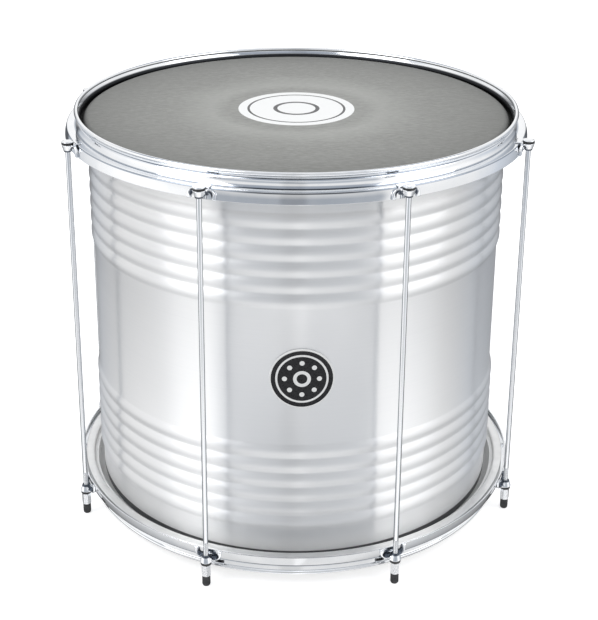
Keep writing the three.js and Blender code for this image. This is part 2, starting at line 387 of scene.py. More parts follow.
def satin_aluminium():
    """Brushed round the drum: reflections stay sharp sideways and smear up and down."""
    made, tree, shader, here = material("satin_aluminium", (0.89, 0.895, 0.9), 1.0, 0.34, Anisotropic=1.0,
                                        Anisotropic_Rotation=0.25)
    around = node(tree, "ShaderNodeTangent", direction_type="RADIAL", axis="Z").outputs[0]
    tree.links.new(around, shader.inputs["Tangent"])
    lines = noise(tree, stretched(tree, here, 10, 10, 4200), 1.0, 3.0, 0.6)
    coarse = noise(tree, stretched(tree, here, 4, 4, 1100), 1.0, 2.0, 0.5)
    cloud = noise(tree, here, 9.0, 3.0, 0.55)
    both = calc(tree, "ADD", calc(tree, "MULTIPLY", lines, 0.7), calc(tree, "MULTIPLY", coarse, 0.3))
    colour = ramp(tree, both, [(0.3, (0.865, 0.872, 0.88)), (0.7, (0.91, 0.914, 0.92))])
    height = axes(tree, here)[2]
    # Painted light: the colour turns lighter towards the foot, so that the foot mirrors brighter
    foot = remap(tree, height, FOOT_SHADE_TOP * MM, FOOT_SHADE_END * MM, 0.0, 1.0)
    colour = blend_colour(tree, foot, colour, (0.985, 0.988, 0.99))
    # Painted shade: dark where the head's collar and the hoop shut the sheet in
    end = remap(tree, calc(tree, "ABSOLUTE", height), 228.1 * MM, 229.0 * MM, 0.0, 1.0)
    colour = blend_colour(tree, end, colour, (0.14, 0.142, 0.146))
    rough = calc(tree, "ADD", remap(tree, both, 0.3, 0.7, 0.32, 0.39),
                 remap(tree, cloud, 0.3, 0.7, -0.02, 0.02))
    dress(tree, shader, colour, rough)
    lean = calc(tree, "MULTIPLY", calc(tree, "MULTIPLY", foot, foot), FOOT_LEAN * MM)
    bump(tree, shader, calc(tree, "ADD", calc(tree, "MULTIPLY", both, 0.000006), lean), 1.0, 1.0)
    return made


def near_ring(tree, away, up, radius, height, reach):
    """One on a line round the hoop at a radius and height in mm, falling to nothing at its reach."""
    gap = length(tree, calc(tree, "SUBTRACT", away, radius * MM), calc(tree, "SUBTRACT", up, height * MM))
    return remap(tree, gap, reach * MM * 0.45, reach * MM, 1.0, 0.0)


def chrome(name, wall_levels, band_levels):
    """Bright plating on the rolled hoops, with painted shade: dark inside the wall and darker along its
    crease and corner.

    Levels of brightness, a painted reflection, go from the front and the back of the hoop, at 0, to its
    two sides, at 1.
    """
    made, tree, shader, here = material(name, (0.90, 0.915, 0.935), 1.0, 0.06)
    film = noise(tree, here, 34.0, 4.0, 0.6)
    fine = noise(tree, here, 420.0, 2.0, 0.5)
    colour = ramp(tree, film, [(0.3, (0.86, 0.88, 0.905)), (0.65, (0.93, 0.94, 0.955))])
    away, up = round_axis(tree, here)
    sideways = calc(tree, "DIVIDE", calc(tree, "ABSOLUTE", axes(tree, here)[0]), away, clamp=True)
    # Painted reflection: the wall and the band take levels of brightness by direction round the hoop
    wall, band = (ramp(tree, sideways, [(place, tone(level)) for place, level in levels])
                  for levels in (wall_levels, band_levels))
    on_band = remap(tree, away, FLESH_OUTER * MM, (FLESH_OUTER + 1.5) * MM, 0.0, 1.0)
    colour = blend_colour(tree, 1.0, colour, blend_colour(tree, on_band, wall, band), "MULTIPLY")
    share = calc(tree, "DIVIDE", calc(tree, "SUBTRACT", up, COVE_LOW * MM), COVE_RISE * MM, clamp=True)
    swing = calc(tree, "MULTIPLY", calc(tree, "SINE", calc(tree, "MULTIPLY", share, math.pi)),
                 COVE_DEPTH * MM)
    # Painted shade: black on the wall's inner face, up to just over the head's film
    inside = calc(tree, "LESS_THAN", calc(tree, "ADD", away, swing), (WALL_INNER + 0.8) * MM)
    inside = calc(tree, "MULTIPLY", inside,
                  remap(tree, up, (FILM_TOP + 1.0) * MM, (FILM_TOP + 2.5) * MM, 1.0, 0.0))
    # Painted shade along the crease at the wall's foot and along the shoulder's corner, darkest at the
    # front and back
    crease = calc(tree, "MAXIMUM", near_ring(tree, away, up, WALL_OUTER + 0.5, SHOULDER_TOP + 0.4, 1.7),
                  near_ring(tree, away, up, BAND_OUTER - 2.0, SHOULDER_TOP - 0.6, 1.2))
    painted_crease_shade = ramp(tree, sideways, [(0.0, (0.10, 0.11, 0.13)), (0.17, (0.10, 0.11, 0.13)),
                                  (0.30, (0.36, 0.40, 0.46))])
    colour = blend_colour(tree, crease, colour, painted_crease_shade)
    rough = calc(tree, "ADD", remap(tree, film, 0.35, 0.7, 0.035, 0.10),
                 remap(tree, fine, 0.4, 0.7, 0.0, 0.02))
    dress(tree, shader, blend_colour(tree, inside, colour, (0.03, 0.032, 0.036)),
          calc(tree, "ADD", rough, calc(tree, "MULTIPLY", inside, 0.3)))
    bump(tree, shader, film, 0.05, 0.0004)
    return made


def rod_chrome():
    """Plating of the slim rods, with painted reflection: the dark lines that round bright bars carry along
    both edges.
    """
    made, tree, shader, here = material("rod_chrome", (0.9, 0.91, 0.925), 1.0, 0.08)
    film = noise(tree, stretched(tree, here, 90, 90, 14), 1.0, 3.0, 0.6)
    fine = noise(tree, here, 520.0, 2.0, 0.5)
    colour = ramp(tree, film, [(0.3, (0.84, 0.86, 0.885)), (0.68, (0.93, 0.94, 0.955))])
    # Painted reflection: dark lines along the shank's edges, where its surface turns away from the view
    facing = node(tree, "ShaderNodeLayerWeight", {"Blend": 0.5}).outputs["Facing"]
    below_disc = calc(tree, "LESS_THAN", axes(tree, here)[2], (DISC_UNDER - 0.2) * MM)
    edge = calc(tree, "MULTIPLY", remap(tree, facing, 0.24, 0.52, 0.0, 1.0), below_disc)
    rough = calc(tree, "ADD", remap(tree, film, 0.35, 0.7, 0.05, 0.12),
                 remap(tree, fine, 0.4, 0.7, 0.0, 0.02))
    dress(tree, shader, blend_colour(tree, edge, colour, (0.20, 0.225, 0.26)), rough)
    bump(tree, shader, film, 0.05, 0.0003)
    return made


def cast_chrome(name, painted_recess_shade):
    """Plating of the cast claws, with painted shade in the two cups and the throat, in the tone given."""
    made, tree, shader, here = material(name, (0.88, 0.90, 0.925), 1.0, 0.08)
    skin = noise(tree, here, 260.0, 3.0, 0.6)
    colour = ramp(tree, skin, [(0.3, (0.83, 0.85, 0.88)), (0.65, (0.92, 0.93, 0.95))])
    x, y, z = axes(tree, here)
    # Both cups as one ellipsoid: its middle and half sizes in mm, with x counted to either side
    cup = ((calc(tree, "ABSOLUTE", x), 8.2, 5.6), (y, -4.8, 4.0), (z, -6.2, 5.6))
    reach = [calc(tree, "DIVIDE", calc(tree, "SUBTRACT", value, middle * MM), half * MM)
             for value, middle, half in cup]
    recess = remap(tree, length(tree, *reach), 0.85, 1.15, 1.0, 0.0)
    throat = calc(tree, "MULTIPLY", remap(tree, length(tree, x, y), 5.2 * MM, 6.2 * MM, 1.0, 0.0),
                  remap(tree, z, -6.2 * MM, -7.2 * MM, 0.0, 1.0))
    recess = calc(tree, "MAXIMUM", recess, throat)
    rough = calc(tree, "ADD", remap(tree, skin, 0.35, 0.7, 0.05, 0.14),
                 calc(tree, "MULTIPLY", recess, 0.15))
    # Painted shade: the cups and the throat take the given dark tone
    dress(tree, shader, blend_colour(tree, recess, colour, painted_recess_shade), rough)
    bump(tree, shader, skin, 0.12, 0.0004)
    return made


def nut_steel():
    """Plated steel of the tuning nuts, spotted and lightly scratched along their length."""
    made, tree, shader, here = material("nut_steel", (0.80, 0.81, 0.83), 1.0, 0.2)
    speck = noise(tree, here, 900.0, 3.0, 0.65)
    scratch = noise(tree, stretched(tree, here, 1400, 1400, 120), 1.0, 2.0, 0.6)
    colour = ramp(tree, speck, [(0.34, (0.62, 0.64, 0.67)), (0.5, (0.82, 0.83, 0.85)),
                                (0.66, (0.90, 0.91, 0.92))])
    dress(tree, shader, colour, calc(tree, "ADD", remap(tree, speck, 0.3, 0.7, 0.12, 0.28),
                                     remap(tree, scratch, 0.4, 0.6, -0.03, 0.05)))
    bump(tree, shader, scratch, 0.15, 0.0003)
    return made


def napa_film():
    """Dark leather-like facing, lighter round the white print; painted shade at the hoop makes it black."""
    made, tree, shader, here = material("napa_film", (0.28, 0.285, 0.27), 0.0, 0.6, Specular_IOR_Level=0.35)
    grain = noise(tree, stretched(tree, here, 120, 700, 700), 1.0, 4.0, 0.66)
    cell = node(tree, "ShaderNodeTexVoronoi", {"Vector": here, "Scale": 950.0}).outputs["Distance"]
    cloud = noise(tree, stretched(tree, here, 5, 9, 9), 1.0, 3.0, 0.5)
    away, _ = round_axis(tree, here)
    base = ramp(tree, grain, [(0.30, (0.225, 0.226, 0.208)), (0.5, (0.315, 0.315, 0.296)),
                              (0.70, (0.42, 0.419, 0.396))])
    # Brightness by distance from the middle, in thirds of a metre: darker outwards, and painted shade,
    # near black, in the corner at the hoop
    fade = ramp(tree, calc(tree, "MULTIPLY", away, 3.0), [(place, tone(level)) for place, level in (
        (0.0, 1.0), (0.30, 1.0), (0.45, 0.93), (0.60, 0.80), (0.774, 0.62), (0.782, 0.09), (1.0, 0.07))])
    base = blend_colour(tree, 1.0, base, fade, "MULTIPLY")
    # Strength of the halo by distance from the middle, in quarters of a metre
    halo = ramp(tree, calc(tree, "MULTIPLY", away, 4.0), [(place, tone(level)) for place, level in (
        (0.0, 0.0), (0.34, 0.0), (0.42, 1.0), (0.50, 0.55), (0.62, 0.0))])
    lit = blend_colour(tree, calc(tree, "MULTIPLY", halo, 0.30), base, (0.56, 0.56, 0.53))
    lit = blend_colour(tree, remap(tree, cloud, 0.3, 0.7, 0.0, 0.22), lit, (0.20, 0.20, 0.185))
    disc = calc(tree, "LESS_THAN", away, PRINT_RADIUS * MM)
    marks = calc(tree, "ADD", within(tree, away, PRINT_RING, MM), within(tree, away, PRINT_CORE, MM),
                 clamp=True)
    paint = blend_colour(tree, marks, (0.90, 0.90, 0.885), (0.085, 0.085, 0.085))
    rough = calc(tree, "SUBTRACT", remap(tree, grain, 0.3, 0.7, 0.5, 0.68),
                 calc(tree, "MULTIPLY", disc, 0.18))
    dress(tree, shader, blend_colour(tree, disc, lit, paint), rough)
    relief = calc(tree, "ADD", grain, calc(tree, "MULTIPLY", cell, 0.5))
    relief = calc(tree, "MULTIPLY", relief, remap(tree, disc, 0.0, 1.0, 1.0, 0.35))
    bump(tree, shader, relief, 0.35, 0.0004)
    return made


def satin_ring():
    """Extruded aluminium of the flesh hoops, drawn along its length, with a dull skin."""
    made, tree, shader, here = material("satin_ring", (0.84, 0.83, 0.80), 1.0, 0.34)
    drawn = noise(tree, stretched(tree, here, 60, 60, 3000), 1.0, 3.0, 0.6)
    cloud = noise(tree, here, 46.0, 3.0, 0.55)
    dress(tree, shader, ramp(tree, cloud, [(0.3, (0.82, 0.82, 0.81)), (0.7, (0.90, 0.90, 0.895))]),
          remap(tree, drawn, 0.3, 0.7, 0.27, 0.42))
    bump(tree, shader, drawn, 0.08, 0.0002)
    return made


def white_film():
    """Plain white film of the lower head, faintly milky with a fine tooth."""
    made, tree, shader, here = material("white_film", (0.80, 0.80, 0.775), 0.0, 0.42)
    cloud = noise(tree, here, 12.0, 3.0, 0.5)
    tooth = noise(tree, here, 1500.0, 3.0, 0.6)
    dress(tree, shader, ramp(tree, cloud, [(0.3, (0.84, 0.84, 0.825)), (0.7, (0.89, 0.89, 0.88))]),
          remap(tree, tooth, 0.3, 0.7, 0.36, 0.5))
    bump(tree, shader, tooth, 0.15, 0.0002)
    return made


def black_rubber():
    """Matte rubber of washers and feet, greyed by dust."""
    made, tree, shader, here = material("black_rubber", (0.022, 0.023, 0.025), 0.0, 0.6)
    grain = noise(tree, here, 1600.0, 3.0, 0.6)
    dust = noise(tree, here, 180.0, 4.0, 0.65)
    dress(tree, shader, ramp(tree, dust, [(0.4, (0.016, 0.017, 0.019)), (0.75, (0.060, 0.061, 0.063))]),
          remap(tree, grain, 0.3, 0.7, 0.42, 0.68))
    bump(tree, shader, grain, 0.35, 0.0003)
    return made


def badge_enamel():
    """Black enamel with a plain silver pattern: a rim, a ring, eight dots and a hub."""
    made, tree, shader, here = material("badge_enamel", (0.012, 0.012, 0.014), 0.0, 0.3,
                                        Specular_IOR_Level=0.25)
    across, up, _ = axes(tree, node(tree, "ShaderNodeTexCoord").outputs["UV"])
    x, y = calc(tree, "SUBTRACT", across, 0.5), calc(tree, "SUBTRACT", up, 0.5)
    away = length(tree, x, y)
    # The eight dots are one, mirrored over and over round the middle
    part = calc(tree, "PINGPONG", calc(tree, "ARCTAN2", y, x), math.pi / 8)
    beside = calc(tree, "MULTIPLY", away, calc(tree, "SINE", part))
    along = calc(tree, "SUBTRACT", calc(tree, "MULTIPLY", away, calc(tree, "COSINE", part)), DOT_CIRCLE)
    dots = calc(tree, "LESS_THAN", length(tree, beside, along), DOT_RADIUS)
    rings = calc(tree, "ADD", within(tree, away, BADGE_HUB), calc(tree, "GREATER_THAN", away, BADGE_RIM))
    marks = calc(tree, "ADD", calc(tree, "ADD", dots, within(tree, away, BADGE_RING)), rings, clamp=True)
    dust = noise(tree, here, 500.0, 4.0, 0.6)
    black = ramp(tree, dust, [(0.45, (0.010, 0.010, 0.012)), (0.8, (0.030, 0.030, 0.032))])
    dress(tree, shader, blend_colour(tree, marks, black, (0.80, 0.80, 0.79)),
          remap(tree, dust, 0.3, 0.7, 0.24, 0.38))
    bump(tree, shader, calc(tree, "ADD", marks, calc(tree, "MULTIPLY", dust, 0.2)), 0.25, 0.0002)
    return made


SATIN = satin_aluminium()
# Painted reflection and shade of the two hoops: brightness by direction round each, the lower hoop's darker
CHROME = chrome("chrome", [(0.0, 1.0), (1.0, 1.0)], [(0.0, 0.84), (0.50, 0.84), (0.68, 1.0), (1.0, 1.0)])
LOW_CHROME = chrome("low_chrome", [(0.0, 0.98), (0.28, 0.90), (0.48, 0.72), (0.70, 1.0), (1.0, 1.0)],
                    [(0.0, 0.66), (0.30, 0.72), (0.50, 0.86), (0.70, 0.94), (1.0, 0.94)])
ROD_CHROME = rod_chrome()
# The claws' painted shade in cups and throat: grey on the upper claws, near black on the lower ones
CAST = cast_chrome("cast_chrome", (0.26, 0.285, 0.325))
LOW_CAST = cast_chrome("low_cast_chrome", (0.085, 0.10, 0.125))
STEEL = nut_steel()
NAPA = napa_film()
RING = satin_ring()
FILM = white_film()
RUBBER = black_rubber()
ENAMEL = badge_enamel()


def finish_piece(piece, look, body, slot, *nodes):
    """Gives a piece its material and its body, and hides the CAD nodes that it stands for. Slot is not
    used.
    """
    piece.data.materials.clear()
    piece.data.materials.append(look)
    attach(piece, body)
    if nodes:
        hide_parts(*nodes)


# Shell

def bead_swell(share):
    """Height of the bead's crown over the wall at a share of its pitch, with a narrow rounded valley."""
    soft = 0.10
    raw = math.sqrt(math.sin(math.pi * share) ** 2 + soft * soft) - soft
    return BEAD_HEIGHT * raw / (math.sqrt(1 + soft * soft) - soft)


def bead_wall(radius, steps):
    """One half of the wall, from the middle plane to the end of its beads."""
    return [(radius + bead_swell(i / steps), BEAD_START + BEAD_PITCH * i / steps)
            for i in range(BEADS * steps + 1)]


def mirrored(half):
    return [(radius, -height) for radius, height in reversed(half)]


def build_shell():
    curl_middle, curl_height = SHELL_RADIUS - CURL_RADIUS, SHELL_HALF - CURL_RADIUS
    lip = curl_middle - LIP_WIDTH
    outer_half = bead_wall(SHELL_RADIUS, 14) + arc(curl_middle, curl_height, CURL_RADIUS, 0, 90, 8)
    outer_half += [(lip, SHELL_HALF)]
    inner_half = bead_wall(SHELL_RADIUS - SHELL_SHEET, 8)
    inner_half += arc(curl_middle, curl_height, CURL_RADIUS - SHELL_SHEET, 0, 90, 5)
    inner_half += [(lip, SHELL_HALF - SHELL_SHEET)]
    outline = mirrored(outer_half) + outer_half + (mirrored(inner_half) + inner_half)[::-1]
    piece = turned("shell_body", outline, DRUM_SIDES, 60)
    piece.matrix_world = Matrix.Translation((0, 0, MIDDLE * MM))
    finish_piece(piece, SATIN, "drum", "shell", "shell")


def build_badge():
    """A round plate bent to the shell, with a raised rim, in rings from its centre outwards."""
    under = SHELL_RADIUS + FIT_GAP
    edge, face, rim = BADGE_RADIUS, 0.95, 1.2
    # Distance from the badge's middle, and height over its under side
    profile = [(0.0, face), (10, face), (20, face), (28, face), (edge - 3.4, face), (edge - 3.0, 1.0),
               (edge - 2.7, 1.15), (edge - 2.2, rim), (edge - 0.8, rim), (edge - 0.3, 1.1), (edge, 0.75),
               (edge, 0.1), (edge - 0.2, 0.0), (20, 0.0), (0.0, 0.0)]
    points, rows, plates = [], [], []
    for reach, rise in profile:
        count = BADGE_SIDES if reach else 1
        rows.append([len(points) + i % count for i in range(BADGE_SIDES)])
        for i in range(count):
            a = 2 * math.pi * i / BADGE_SIDES
            across, up = reach * math.cos(a), reach * math.sin(a)
            bend = across / SHELL_RADIUS
            points.append(((under + rise) * math.sin(bend), -(under + rise) * math.cos(bend), up))
            plates.append((0.5 + across / BADGE_CHART, 0.5 + up / BADGE_CHART))
    piece = mesh_piece("badge_plate", points, ring_faces(rows, False), 60)
    chart = piece.data.uv_layers.new(name="plate")
    for loop in piece.data.loops:
        chart.data[loop.index].uv = plates[loop.vertex_index]
    piece.matrix_world = Matrix.Translation((0, 0, MIDDLE * MM))
    finish_piece(piece, ENAMEL, "drum", "badge", "shell_badge")


# Hoops and heads

def cove(radius, low, high, steps=14):
    """Points up one face of the wall, drawn inwards between its two ends."""
    return [(radius - COVE_DEPTH * math.sin(math.pi * i / steps), low + (high - low) * i / steps)
            for i in range(steps + 1)]


def hoop_outline():
    """The bent sheet of the hoop: edge of the band, band, shoulder, wall with its cove and rolled rim."""
    roll = (WALL_INNER + WALL_OUTER) / 2
    roll_height = RIM_TOP - ROLL_RADIUS
    tuck = 22
    wall_top = roll_height - ROLL_RADIUS * math.cos(math.radians(tuck))
    crown, lean = 30.0, 20.0
    band = arc(BAND_OUTER - crown, BAND_EDGE + 0.7, crown, 0, lean, 6)
    band_top = band[-1]
    corner = fillet([band_top, (band_top[0] - 0.6, SHOULDER_TOP, 2.6), (WALL_OUTER + 0.3, SHOULDER_TOP)], 6)
    lower_edge = fillet([(BAND_INNER, SHOULDER_UNDER), (BAND_INNER, BAND_EDGE, 0.6),
                         (BAND_OUTER, BAND_EDGE, 0.7), band[0]], 5)
    bead = arc(roll, roll_height, ROLL_RADIUS, -90 + tuck, 270 - tuck, 24)
    return (lower_edge[:-1] + band[:-1] + corner + cove(WALL_OUTER, SHOULDER_TOP, wall_top) + bead[1:-1]
            + cove(WALL_INNER, SHOULDER_UNDER, wall_top)[::-1])


def collar(run, base, steps=9):
    """Points down the head's collar, from its crown on the shell to its foot on the flesh hoop."""
    rise = FILM_TOP - FLAP_TOP
    turns = [math.pi / 2 * i / steps for i in range(steps + 1)]
    return [(COLLAR_CROWN + run * math.sin(a), base + rise * math.cos(a)) for a in turns]


def head_outline():
    run = COLLAR_FOOT - COLLAR_CROWN
    under = [(0, FILM_UNDER)] + collar(run - FILM_THICKNESS, FLAP_UNDER)
    flap = [(FLESH_OUTER, FLAP_UNDER), (FLESH_OUTER, FLAP_TOP)]
    return under + flap + collar(run, FLAP_TOP)[::-1] + [(radius, FILM_TOP) for radius in (200, 140, 72, 0)]


def build_ends():
    """Hoop, flesh hoop and head of the batter end, and the same turned over for the resonant end."""
    hoop = turned("batter_hoop_ring", hoop_outline(), HOOP_SIDES, 50)
    flesh = turned("batter_flesh_ring", fillet([
        (FLESH_INNER, FLESH_BOTTOM, 3.4), (FLESH_OUTER, FLESH_BOTTOM, 1.0),
        (FLESH_OUTER, FLESH_TOP, 0.5), (FLESH_INNER, FLESH_TOP, 0.5)], 4), DRUM_SIDES, 50)
    head = turned("batter_film", head_outline(), DRUM_SIDES, 50, ring=False)
    for end, turn, plate, film, film_slot in (("batter", 0.0, CHROME, NAPA, "head"),
                                              ("resonant", math.pi, LOW_CHROME, FILM, "film")):
        place = Matrix.Translation((0, 0, MIDDLE * MM)) @ Matrix.Rotation(turn, 4, "X")
        for source, part, look, slot in ((hoop, "hoop", plate, "hoop"),
                                         (flesh, "flesh_hoop", RING, "flesh_hoop"),
                                         (head, "head", film, film_slot)):
            piece = source
            if end == "resonant":
                piece = linked(source.name.replace("batter", end), source.data.copy())
            piece.matrix_world = place
            finish_piece(piece, look, "drum", slot, f"{end}_{part}")


# Claws, as a sampled solid

def polygon_distance(px, py, corners):
    """Signed distance to a closed outline, negative inside."""
    best = np.full(px.shape, 1e9)
    inside = np.zeros(px.shape, bool)
    for (ax, ay), (bx, by) in zip(corners, corners[1:] + corners[:1]):
        ex, ey = bx - ax, by - ay
        square = ex * ex + ey * ey
        if square < 1e-12:
            continue
        share = np.clip(((px - ax) * ex + (py - ay) * ey) / square, 0, 1)
        best = np.minimum(best, (px - ax - ex * share) ** 2 + (py - ay - ey * share) ** 2)
        if ey:
            inside ^= ((ay > py) != (by > py)) & (px < ex * (py - ay) / ey + ax)
    return np.where(inside, -1, 1) * np.sqrt(best)


def smooth_max(a, b, size):
    near = np.maximum(size - np.abs(a - b), 0) / size
    return np.maximum(a, b) + near * near * size / 4


def smooth_min(a, b, size):
    return -smooth_max(-a, -b, size)


def quadratic(start, control, end, steps=12):
    """Points of a curve from start, which isn't one of them, to end, drawn towards control."""
    shares = [i / steps for i in range(1, steps + 1)]
    return [tuple((1 - t) ** 2 * a + 2 * t * (1 - t) * b + t * t * c
                  for a, b, c in zip(start, control, end)) for t in shares]


def claw_plan():
    """The claw seen from the rod's end: straight along the band, drawn in to the boss on both sides."""
    front = CLAW_BACK + 2.7
    flank, boss_line = 6.9, 0.4
    return ([(-CLAW_HALF, CLAW_BACK), (CLAW_HALF, CLAW_BACK), (CLAW_HALF, front)]
            + quadratic((CLAW_HALF, front), (BOSS_RADIUS, front), (flank, boss_line))
            + [(-flank, boss_line)]
            + quadratic((-flank, boss_line), (-BOSS_RADIUS, front), (-CLAW_HALF, front)))


def claw_front():
    """The claw seen from outside: an arched bridge with an arm at each end."""
    arm, bridge, shoulder, tip, top = 12.5, -4.4, 8.2, 4.0, 0.1
    return ([(-CLAW_HALF, -CLAW_DROP), (-arm, -CLAW_DROP)]
            + quadratic((-arm, -CLAW_DROP), (-arm + 0.3, bridge), (-tip, bridge))
            + [(tip, bridge)]
            + quadratic((tip, bridge), (arm - 0.3, bridge), (arm, -CLAW_DROP))
            + [(CLAW_HALF, -CLAW_DROP)]
            + quadratic((CLAW_HALF, -CLAW_DROP), (CLAW_HALF, top), (shoulder, top))
            + [(-shoulder, top)]
            + quadratic((-shoulder, top), (-CLAW_HALF, top), (-CLAW_HALF, -CLAW_DROP)))


def claw_field(x, y, z):
    """Signed distance to the cast claw: rod at the origin, seat at z 0, hoop's band at CLAW_BACK."""
    body = smooth_max(polygon_distance(x, y, claw_plan()), polygon_distance(x, z, claw_front()), 1.5)
    away = np.sqrt(x * x + y * y)
    slope = (BOSS_RADIUS - BOSS_TIP) / BOSS_LENGTH
    cone = (away - BOSS_RADIUS - slope * z) / math.sqrt(1 + slope * slope)
    cone = smooth_max(cone, np.maximum(z - 0.02, -BOSS_LENGTH - z), 0.8)
    body = smooth_min(body, cone, 1.6)
    # The lip over the hoop's shoulder, and the root that joins it to the bridge
    lip_half, lip_depth, lip_top, lip_under, root_depth, root_drop = 8.9, 7.9, 1.55, 0.32, 2.5, 4.0
    lip_x = np.abs(x) - lip_half
    lip_y = np.maximum(y - (CLAW_BACK + root_depth), (CLAW_BACK - lip_depth) - y)
    lip_z = np.maximum(z - lip_top, lip_under - z)
    lip = smooth_max(smooth_max(lip_x, lip_y, 2.2), lip_z, 0.5)
    root_y = np.maximum(y - (CLAW_BACK + root_depth), (CLAW_BACK + 0.02) - y)
    root_z = np.maximum(z - lip_top, -root_drop - z)
    root = smooth_max(smooth_max(lip_x, root_y, 0.8), root_z, 0.5)
    body = smooth_min(smooth_min(body, root, 0.8), lip, 0.6)
    # An ellipsoid scooped out of the front on each side of the boss
    cup_x, cup_y, cup_z = 9.6, -3.6, -5.6
    half_x, half_y, half_z, scale = 4.6, 3.0, 4.0, 3.2
    for side in (-1, 1):
        cup = np.sqrt(((x - side * cup_x) / half_x) ** 2 + ((y - cup_y) / half_y) ** 2
                      + ((z - cup_z) / half_z) ** 2) - 1
        body = smooth_max(body, -cup * scale, 0.7)
    # The disc's seat, the rod's hole and the flat back
    seat = np.maximum(away - (DISC_RADIUS + FIT_GAP), -z)
    body = smooth_max(body, -seat, 0.35)
    body = smooth_max(body, BORE_RADIUS - away, 0.35)
    return np.maximum(body, np.where(z < lip_under - 0.01, CLAW_BACK - y, -9.0))


def surface_net(field, low, step):
    """Points and quads on the zero level of a sampled field, one point in each cell that it crosses."""
    inside = field < 0
    nx, ny, nz = (n - 1 for n in field.shape)
    corners = [(i, j, k) for i in (0, 1) for j in (0, 1) for k in (0, 1)]
    view = lambda c, a: a[c[0]:c[0] + nx, c[1]:c[1] + ny, c[2]:c[2] + nz]
    count = sum(view(c, inside).astype(int) for c in corners)
    mixed = (count > 0) & (count < 8)
    index = np.full(mixed.shape, -1)
    index[mixed] = np.arange(mixed.sum())
    cells = np.argwhere(mixed)
    total = np.zeros((len(cells), 3))
    hits = np.zeros(len(cells))
    for a in corners:
        for axis in range(3):
            if a[axis]:
                continue
            b = tuple(1 if n == axis else a[n] for n in range(3))
            fa, fb = view(a, field)[mixed], view(b, field)[mixed]
            crossed = (fa < 0) != (fb < 0)
            share = np.where(crossed, fa / np.where(crossed, fa - fb, 1), 0)
            place = np.array(a, float) + np.outer(share, np.eye(3)[axis])
            total += np.where(crossed[:, None], place, 0)
            hits += crossed
    points = (cells + total / hits[:, None]) * step + low
    quads = []
    for axis in range(3):
        u, v = (axis + 1) % 3, (axis + 2) % 3
        first = np.take(inside, range(0, inside.shape[axis] - 1), axis)
        second = np.take(inside, range(1, inside.shape[axis]), axis)
        for flips, order in (((first & ~second), 1), ((~first & second), -1)):
            for cell in np.argwhere(flips):
                ring = []
                for du, dv in ((0, 0), (-1, 0), (-1, -1), (0, -1)):
                    at = cell.copy()
                    at[u] += du
                    at[v] += dv
                    ring.append(int(index[tuple(at)]))
                quads.append(ring[::order])
    return points, quads


def claw_mesh():
    """The claw's sampled surface, drawn onto the exact one along the slope of its field."""
    step = 0.4
    low = np.array([-CLAW_HALF - 1.5, -17.0, -14.0])
    high = np.array([CLAW_HALF + 1.5, 9.0, 3.0])
    grid = np.meshgrid(*(np.arange(a, b + step, step) for a, b in zip(low, high)), indexing="ij")
    points, quads = surface_net(claw_field(*grid), low, step)
    nudge = 0.02
    for _ in range(3):
        value = claw_field(*points.T)
        slope = np.stack([claw_field(*(points + nudge * axis).T) - value for axis in np.eye(3)], 1) / nudge
        size = np.maximum((slope * slope).sum(1), 0.25)
        points = points - np.clip(value / size, -step / 2, step / 2)[:, None] * slope
    return taken_mesh(mesh_piece("claw_master", points, quads, 55))


# Stations

def rod_mesh():
    """The shank with its rolled thread at the lower end, and the polished disc head."""
    angles = [2 * math.pi * s / ROD_SIDES for s in range(ROD_SIDES)]
    ring = lambda radius, height: [(radius, a, height) for a in angles]
    tip = 2.2
    rows = [ring(tip, ROD_END)]
    steps = int((THREAD_TOP - ROD_END) / THREAD_PITCH * 8)
    for i in range(steps + 1):
        height = ROD_END + (THREAD_TOP - ROD_END) * i / steps
        fade = min(1.0, (THREAD_TOP - height) / 3.0, (height - ROD_END) / 0.8 + 0.2)
        turns = [(height / THREAD_PITCH - s / ROD_SIDES) % 1.0 for s in range(ROD_SIDES)]
        rows.append([(ROD_RADIUS - THREAD_DEPTH * fade * abs(2 * turn - 1), a, height)
                     for turn, a in zip(turns, angles)])
    rows += [ring(ROD_RADIUS, height) for height in (62, 170, 280, 390, 490)]
    head = [(ROD_RADIUS, 0.0), (4.0, 0.15, 0.2), (DISC_RADIUS - 0.3, 0.15, 0.3), (DISC_RADIUS, 0.5, 0.3),
            (DISC_RADIUS - 0.5, 0.95, 0.4), (DISC_RADIUS * 0.6, 1.4, 3.0), (1.6, 1.5), (0.4, 1.5)]
    rows += [ring(radius, DISC_UNDER + rise) for radius, rise in fillet(head, 4)]
    return swept_mesh("rod_master", rows, 50, False)


def nut_mesh():
    """A long hexagon with turned chamfers at both ends and the rod's bore."""
    half = NUT_FLATS / 2
    corner = half / math.cos(math.pi / 6)
    flat = lambda a: half / math.cos(a % (math.pi / 3) - math.pi / 6)
    # Heights, and the radius that a turning tool would leave there
    chamfer = [(0.0, half - 0.25), (0.1, half - 0.05), (0.28, half + 0.25), (0.45, corner - 0.05),
               (0.6, corner + 1)]
    levels = [(NUT_LOW + rise, limit) for rise, limit in chamfer]
    levels += [(NUT_LOW + (NUT_HIGH - NUT_LOW) * t, corner + 1) for t in (0.25, 0.5, 0.75)]
    levels += [(NUT_HIGH - rise, limit) for rise, limit in reversed(chamfer)]
    angles = [2 * math.pi * s / NUT_SIDES for s in range(NUT_SIDES)]
    rows = [[(BORE_RADIUS, a, NUT_LOW) for a in angles]]
    rows += [[(min(flat(a), limit), a, height) for a in angles] for height, limit in levels]
    rows += [[(BORE_RADIUS, a, NUT_HIGH) for a in angles]]
    return swept_mesh("nut_master", rows, 30, True)


def washer_mesh(name, inner, outer, low, high, edge):
    outline = fillet([(inner, low, 0.2), (outer, low, edge), (outer, high, edge), (inner, high, 0.2)], 4)
    return taken_mesh(turned(name, outline, SMALL_SIDES, 40))


